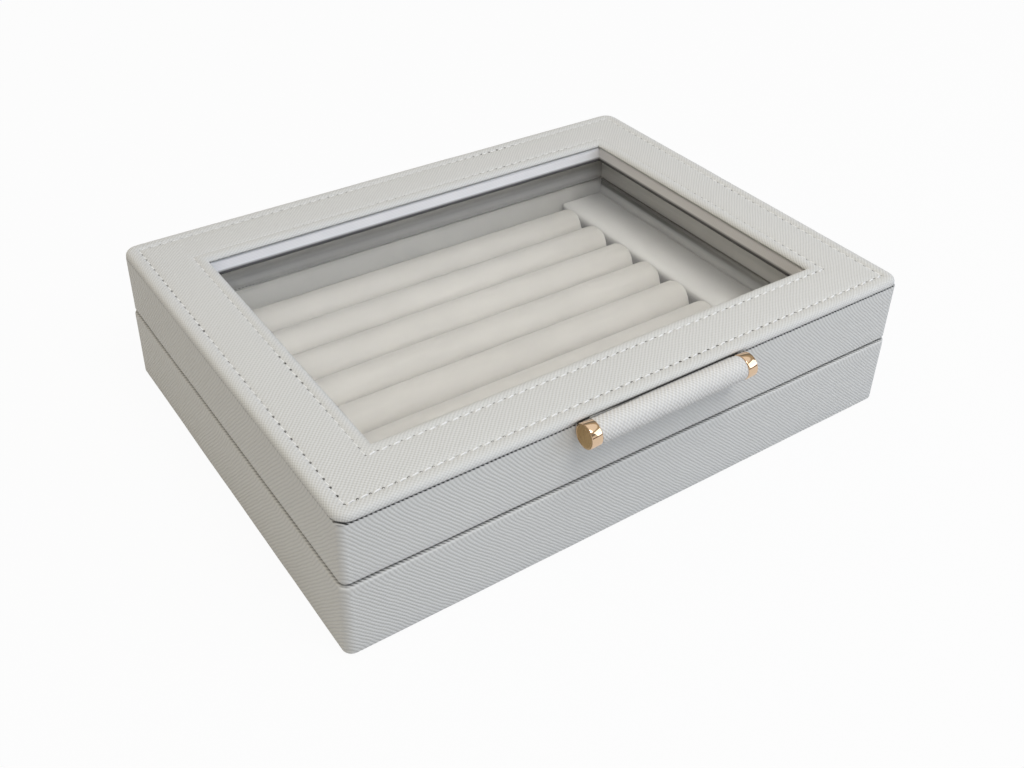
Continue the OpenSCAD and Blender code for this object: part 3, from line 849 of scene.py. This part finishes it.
# %% One stitch and one hole
stitch = round_bar("stitch", 6, 0.26 * MM, 3.3 * MM)
edit(stitch, "FACE")
score(0, [v * MM for v in (-1.25, -0.8, 0.8, 1.25)])
pick(stitch, "VERT", lambda c, v: abs(c.x) < 1.0 * MM)
bpy.ops.transform.translate(value=(0, 0, 0.20 * MM))
pick(stitch, "VERT", lambda c, v: abs(c.x) > 1.5 * MM)
bpy.ops.transform.translate(value=(0, 0, -0.45 * MM))
bpy.ops.transform.resize(value=(1, 0.6, 0.6))
let_go()
bpy.ops.mesh.primitive_cylinder_add(vertices=8, radius=0.48 * MM, depth=0.5 * MM)
hole = bpy.context.object
hole.name = "hole"
edit(hole, "FACE")
pick(hole, "FACE", lambda c, f: f.normal.z > 0.9)
bpy.ops.mesh.inset(thickness=0.20 * MM, depth=-0.10 * MM)
let_go()
print("one stitch has", len(stitch.data.polygons), "faces, one hole", len(hole.data.polygons))


# %% Rows of stitches
def rectangle_row(half_x, half_y, pitch):
    """Corner-to-corner places of the holes on a rectangle, each with the way the row runs on."""
    corners = [(-half_x, -half_y), (half_x, -half_y), (half_x, half_y), (-half_x, half_y)]
    for start, end in zip(corners, corners[1:] + corners[:1]):
        start, end = Vector(start), Vector(end)
        count = round((end - start).length / pitch)
        for i in range(count):
            yield start.lerp(end, i / count), start.lerp(end, (i + 1) / count)


def copies_of(model, places, name):
    """Copies a model to each place, each with its own mesh, and joins the copies."""
    made = []
    for matrix in places:
        mesh = model.data.copy()
        mesh.transform(matrix)
        obj = bpy.data.objects.new(name, mesh)
        bpy.context.scene.collection.objects.link(obj)
        made.append(obj)
    let_go()
    for obj in made:
        obj.select_set(True)
    bpy.context.view_layer.objects.active = made[0]
    bpy.ops.object.join()
    joined = bpy.context.object
    joined.name = joined.data.name = name
    return joined


low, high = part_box("top_frame_leather")
groove_z = high.z - 0.42 * MM
STITCH_PITCH, SLANT, UNSURE = 4.45 * MM, 9, 2.5
FULL, PULLED_IN = (0.0, 1.0), (0.26 * MM, 0.75)  # how deep a stitch lies, and how thick it looks
draw = random.Random(7)
for row, inset in (("outer", OUTER_ROW * MM), ("inner", INNER_ROW * MM)):
    bars, cups = [], []
    for here, there in rectangle_row(high.x - inset, high.y - inset, STITCH_PITCH):
        middle, way = (here + there) / 2, there - here
        turn = math.atan2(way.y, way.x) + math.radians(SLANT + draw.uniform(-UNSURE, UNSURE))
        shift = draw.uniform(-0.06, 0.06) * MM
        sunk, thin = FULL if here.y < 0 and abs(way.y) < 1e-6 else PULLED_IN
        place = Matrix.Translation((middle.x + shift, middle.y + shift, groove_z + 0.04 * MM - sunk))
        size = (way.length / STITCH_PITCH) * draw.uniform(0.94, 1.0)
        bars.append(place @ Matrix.Rotation(turn, 4, "Z") @ Matrix.Diagonal((size, thin, thin, 1)))
        cups.append(Matrix.Translation((here.x, here.y, groove_z - 0.16 * MM)))
    finish_piece(settle(copies_of(stitch, bars, row + "_stitches"), 60), "lid", "leather", thread)
    finish_piece(settle(copies_of(hole, cups, row + "_needle_holes"), 30), "lid", "leather", needle_hole_shade)
for model in (stitch, hole):
    bpy.data.objects.remove(model)

# %% [markdown]
# ## The pane
# A cut pane has its edges ground off so that they don't cut. It is a thin block with two small
# bevels, and its corners are nipped.

# %% Glass pane
pane = block("glass_sheet", *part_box("glass_pane"))
edit(pane, "EDGE")
round_edges(pane, 0.35 * MM, 2, lambda c, e: True)
settle(pane, 20)
finish_piece(pane, "lid", "glass", clear_glass, "glass_pane")

# %% [markdown]
# ## Linings
# Each lining is a strip of card with velvet glued round it. The card is stiff, so the panel is
# flat, but the cloth rounds its edges and a slow unevenness swells and sinks its face a little.


# %% Painted light and shade on the linings
def between(stops, here):
    """The value at one place on a line drawn through stops, each a place and a value."""
    if here <= stops[0][0]:
        return stops[0][1]
    for (start, first), (end, last) in zip(stops, stops[1:]):
        if here <= end:
            return first + (last - first) * (here - start) / (end - start)
    return stops[-1][1]


def painted_light_share(node, co):
    """Painted light just under the pane, and painted shade towards the joint of lid and base, above
    all at the back.

    The stops are heights over the table, in millimetres, each with the share of the velvet's tone kept.
    """
    z = co.z / MM
    at_back = between([(-40, 0.0), (30, 1.0)], co.y / MM)
    if "left" in node or "right" in node:
        joint = 0.55 - 0.40 * at_back
        lid_stops = [(31.5, joint + 0.2), (34, joint + 0.42), (37.5, 0.95), (41, 1.0), (45.5, 1.0)]
        lid_stops += [(46.8, 0.3)]
        base_stops = [(22, 1.0), (24.5, 0.95), (26, 0.7), (27.5, joint + 0.1), (29, 0.7 * joint)]
        base_stops += [(31.1, joint)]
    else:
        lid_stops = [(31.5, 0.50), (37.5, 0.44), (41, 0.80), (44.5, 1.0), (45.5, 1.0), (46.8, 0.4)]
        base_stops = [(5, 0.76), (31.1, 0.79)]
    return between(lid_stops if "lid" in node else base_stops, z)


def lay_painted_light(obj, rule):
    """Stores painted light and shade for each vertex: the share of the velvet's tone kept, 0 to 1."""
    nap = obj.data.attributes.new("nap", "FLOAT", "POINT")
    for vertex, value in zip(obj.data.vertices, nap.data):
        value.value = rule(vertex.co)


# %% Lining panels
def lining(node, body):
    low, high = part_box(node)
    obj = block(node + "_velvet", low, high)
    size = high - low
    thin = min(range(3), key=lambda i: size[i])
    edit(obj, "EDGE")
    round_edges(obj, 0.16 * min(size), 3, lambda c, e: True)
    for axis in range(3):
        pitch = 2 * MM if axis == 2 else 6 * MM
        if axis != thin:
            score(axis, steps(low[axis] + 1 * MM, high[axis] - 1 * MM, pitch))
    let_go()
    unevenness(obj, 0.02, 0.12 * MM)
    apply_all(obj)
    lay_painted_light(obj, lambda co: painted_light_share(node, co))
    settle(obj, 60)
    return finish_piece(obj, body, "lining_velvet", lining_velvet, node)


for body in ("base", "lid"):
    for side in ("front", "back", "left", "right"):
        lining(f"{body}_{side}_lining", body)
lining("base_floor_lining", "base")

# %% [markdown]
# ## Ring rolls
# A roll is a foam rod sewn into a velvet sleeve that is gathered at its ends. Its plumpness is
# simulated: a slightly thin roll is remeshed into an even skin, blown up from inside for twenty
# frames as Cloth, and held to a small swelling. All the rolls are alike, so one is simulated, and
# each copy is turned about its length so that no two show the same side.


# %% Blowing up a pad
def puff(obj, voxel, cap, pressure=4.0):
    """Turns a mesh into an even skin and swells it with the Cloth modifier, by at most cap."""
    take(obj)
    remesh = obj.modifiers.new("even", "REMESH")
    remesh.mode, remesh.voxel_size = "VOXEL", voxel
    bpy.ops.object.modifier_apply(modifier=remesh.name)
    rest = [v.co.copy() for v in obj.data.vertices]
    cloth = obj.modifiers.new("cloth", "CLOTH")
    cloth.settings.use_pressure = True
    cloth.settings.uniform_pressure_force = pressure
    cloth.settings.effector_weights.gravity = 0
    cloth.settings.quality = 5
    for step in range(1, 21):
        bpy.context.scene.frame_set(step)
    take(obj)
    bpy.ops.object.modifier_apply(modifier=cloth.name)
    bpy.context.scene.frame_set(1)
    most = 0.0
    for vertex, start in zip(obj.data.vertices, rest):
        move = vertex.co - start
        most = max(most, move.length)
        if move.length > cap:
            vertex.co = start + move * (cap / move.length)
    print(obj.name, "swelled by up to", round(most / MM, 2), "mm before the cap")
    take(obj)
    bpy.ops.object.mode_set(mode="EDIT")
    bpy.ops.mesh.select_all(action="SELECT")
    bpy.ops.mesh.vertices_smooth(factor=0.5, repeat=2)
    bpy.ops.mesh.normals_make_consistent(inside=False)
    let_go()
    return obj


# %% Copies of one model
def put_copy(model, name, matrix, body, slot_name, material, stands_for):
    """Puts a copy of a model, with its own mesh, where the matrix says."""
    obj = bpy.data.objects.new(name, model.data.copy())
    obj.data.transform(matrix)
    bpy.context.scene.collection.objects.link(obj)
    return finish_piece(settle(obj, 70), body, slot_name, material, stands_for)


# %% One roll and its core
VOXEL, ROLL_SWELL = 1.3 * MM, 0.5 * MM
low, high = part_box("ring_roll_velvet_1")
roll_r, half = (high.z - low.z) / 2, (high.x - low.x) / 2
swell = ROLL_SWELL
roll = round_bar("roll", 40, roll_r - swell, 2 * half - 0.6 * swell)
edit(roll, "EDGE")
round_edges(roll, 0.9 * MM, 3, lambda c, e: abs(abs(c.x) - (half - 0.3 * swell)) < 0.1 * MM)
for side in (-1, 1):
    pick(roll, "FACE", lambda c, f: side * f.normal.x > 0.99 and len(f.verts) > 12)
    bpy.ops.mesh.inset(thickness=2.6 * MM)
    bpy.ops.mesh.inset(thickness=1.0 * MM, depth=-0.8 * MM)
let_go()
puff(roll, VOXEL, swell)

low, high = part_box("ring_roll_foam_1")
core = round_bar("core", 32, (high.z - low.z) / 2 - 1.2 * MM, high.x - low.x - 3 * MM)
edit(core, "EDGE")
round_edges(core, 2.5 * MM, 3, lambda c, e: abs(c.x) > (high.x - low.x) / 2 - 2 * MM)
let_go()

# %% The row of rolls
TURN_EACH = math.radians(47)
for i in range(1, 9):
    low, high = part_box(f"ring_roll_velvet_{i}")
    turned = Matrix.Translation((low + high) / 2) @ Matrix.Rotation(TURN_EACH * i, 4, "X")
    obj = put_copy(
        roll, f"ring_roll_{i}", turned, "base", "roll_velvet", roll_velvet, f"ring_roll_velvet_{i}")
    put_copy(core, f"ring_roll_core_{i}", turned, "base", "foam", foam, f"ring_roll_foam_{i}")
for model in (roll, core):
    bpy.data.objects.remove(model)

# %% [markdown]
# ## End strips
# A flat padded strip closes each end of the ring bed. It is a low cushion with velvet pulled over
# it, made the same way. It bulges a little towards the rolls, which press on that face, and that
# face carries painted shade where it shows between the roll ends.

# %% End strip pads
def strip_painted_light(in_from_rolls, below_top):
    """Painted shade on the face that the rolls press on, and a little on the top next to the rolls."""
    on_top = between([(0, 0.90), (8, 1.0)], in_from_rolls / MM)
    on_face = between([(0.6, 1.0), (2.6, 0.45), (4, 0.3)], below_top / MM)
    return on_top * (on_face if in_from_rolls < 1.6 * MM else 1.0)


STRIP_SWELL, BULGE = 0.4 * MM, 2.2 * MM
for side, sign in (("left", -1), ("right", 1)):
    node = side + "_end_strip_velvet"
    low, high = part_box(node)
    swell = STRIP_SWELL
    roll_side = Vector((BULGE, 0, 0))
    grow = (roll_side * (sign > 0), roll_side * (sign < 0))
    inset = Vector((0.3 * swell, swell, 0))
    pad = block(side + "_end_strip", low + inset - grow[0], high - inset + grow[1] - Vector((0, 0, swell)))
    edit(pad, "EDGE")
    round_edges(pad, 1.0 * MM, 3, lambda c, e: c.z > high.z - 3 * MM)
    let_go()
    puff(pad, VOXEL, swell)
    rolls_x = low.x - BULGE if sign > 0 else high.x + BULGE
    lay_painted_light(pad, lambda co: strip_painted_light(sign * (co.x - rolls_x), high.z - swell - co.z))
    settle(pad, 70)
    finish_piece(pad, "base", "lining_velvet", strip_velvet, node)
    margin = Vector((2 * MM, 2 * MM, 0))
    foam_block = block(side + "_end_strip_foam", low + margin, high - margin - Vector((0, 0, 1.6 * MM)))
    edit(foam_block, "EDGE")
    round_edges(foam_block, 2.0 * MM, 3, lambda c, e: c.z > high.z - 3 * MM)
    settle(foam_block, 50)
    finish_piece(foam_block, "base", "foam", foam, side + "_end_strip_core")

# %% [markdown]
# ## The pull tab
# A strip of leather comes out of the lid's front edge, goes round a steel rod and back into the
# edge, so it is one closed loop with a short neck. It starts as a cylinder, and the faces at its
# back are drawn out into the neck.

# %% Loop and neck
loop_low, loop_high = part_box("pull_tab_leather")
anchor_low, anchor_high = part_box("pull_tab_anchor")
rod_low, rod_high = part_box("pull_tab_rod")
rod_y, rod_z = (rod_low.y + rod_high.y) / 2, (rod_low.z + rod_high.z) / 2
loop_r = rod_y - loop_low.y
bend = Vector(next(joint["pos_m"] for joint in frame["joints"] if joint["name"] == "tab_flex"))
tab = round_bar("pull_tab_wrap", 56, loop_r, loop_high.x - loop_low.x, (0, rod_y, rod_z))
edit(tab, "FACE")
neck_low, neck_high = anchor_low.z, anchor_high.z
count = pick(tab, "FACE", lambda c, f: abs(f.normal.x) < 0.5 and c.y > rod_y
             and neck_low - 0.25 * MM < c.z < neck_high + 0.35 * MM)
for reach in (-0.6, -0.3, 0.3, 1.1, 8.6):
    bpy.ops.mesh.extrude_region_move(TRANSFORM_OT_translate={"value": (0, 0, 0)})
    bpy.ops.transform.resize(value=(1, 0, 1), center_override=(0, bend.y + reach * MM, 0))
print("neck drawn from", count, "faces")
round_edges(tab, 0.35 * MM, 2, lambda c, e: abs(abs(c.x) - loop_high.x) < 0.05 * MM and len(
    e.link_faces) == 2 and any(len(f.verts) > 8 for f in e.link_faces))
score(0, steps(loop_low.x + 1 * MM, loop_high.x - 1 * MM, 4 * MM))
let_go()
settle(tab, 45)


# %% The tab's grain
CLOSER_ACROSS, WIDER_ALONG = 1.05, 0.81


def tab_grain(co):
    """Across and along the grain, with the way round the rod laid flat."""
    if co.y > bend.y - 0.8 * MM:
        way_round = (math.pi + 0.3) * loop_r - (co.y - rod_y)
    else:
        way_round = loop_r * math.atan2(co.y - rod_y, co.z - rod_z)
    across = co.x * 0.769 + way_round * 0.638
    along = co.x * 0.823 - way_round * 0.568
    return across * CLOSER_ACROSS, along * WIDER_ALONG, 0.0


lay_grain(tab, tab_grain)
tab.data.materials.append(tab_leather)
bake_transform(tab)
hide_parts("pull_tab_leather", "pull_tab_anchor")
print(tab.name, "has", len(tab.data.polygons), "faces")

# %% [markdown]
# ## Caps of the pull tab
# The caps are turned from bar and polished. What tells turned metal from a plain cylinder is its
# edge: a narrow chamfer that catches the light, and a face sunk a hair below it.

# %% Rose gold caps
for side, sign in (("left", -1), ("right", 1)):
    node = "pull_tab_cap_" + side
    low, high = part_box(node)
    cap = round_bar(node + "_turned", 72, (high.z - low.z) / 2, high.x - low.x, (low + high) / 2)
    edit(cap, "FACE")
    outer_x, inner_x = (high.x, low.x) if sign > 0 else (low.x, high.x)
    for x, chamfer in ((outer_x, 0.32 * MM), (inner_x, 0.25 * MM)):
        round_edges(cap, chamfer, 3, lambda c, e: all(abs(v.co.x - x) < 0.01 * MM for v in e.verts))
    pick(cap, "FACE", lambda c, f: sign * f.normal.x > 0.99 and len(f.verts) > 20)
    bpy.ops.mesh.inset(thickness=0.30 * MM)
    bpy.ops.mesh.inset(thickness=0.08 * MM, depth=-0.06 * MM)
    settle(cap, 30)
    finish_piece(cap, "pull_tab", "rose_gold", rose_gold, node)
    cap.data.materials.append(cap_face)
    for face in cap.data.polygons:
        face.material_index = int(sign * face.normal.x > 0.99)

# %% [markdown]
# ## Pieces that keep their solids
# Boards, foam cores, the underside cover, the rod and the hinges already have their right shape,
# so they keep it and only get a finish.

# %% Finishes for the solids
kept = {"board": board, "foam": foam, "core": foam, "underside": underside_paper, "rod": steel,
        "hinge": brass}
for name, obj in nodes.items():
    if obj.hide_render:
        continue
    word = next(w for w in kept if w in name)
    obj.data.materials.clear()
    obj.data.materials.append(kept[word])
    print(name, "->", kept[word].name)
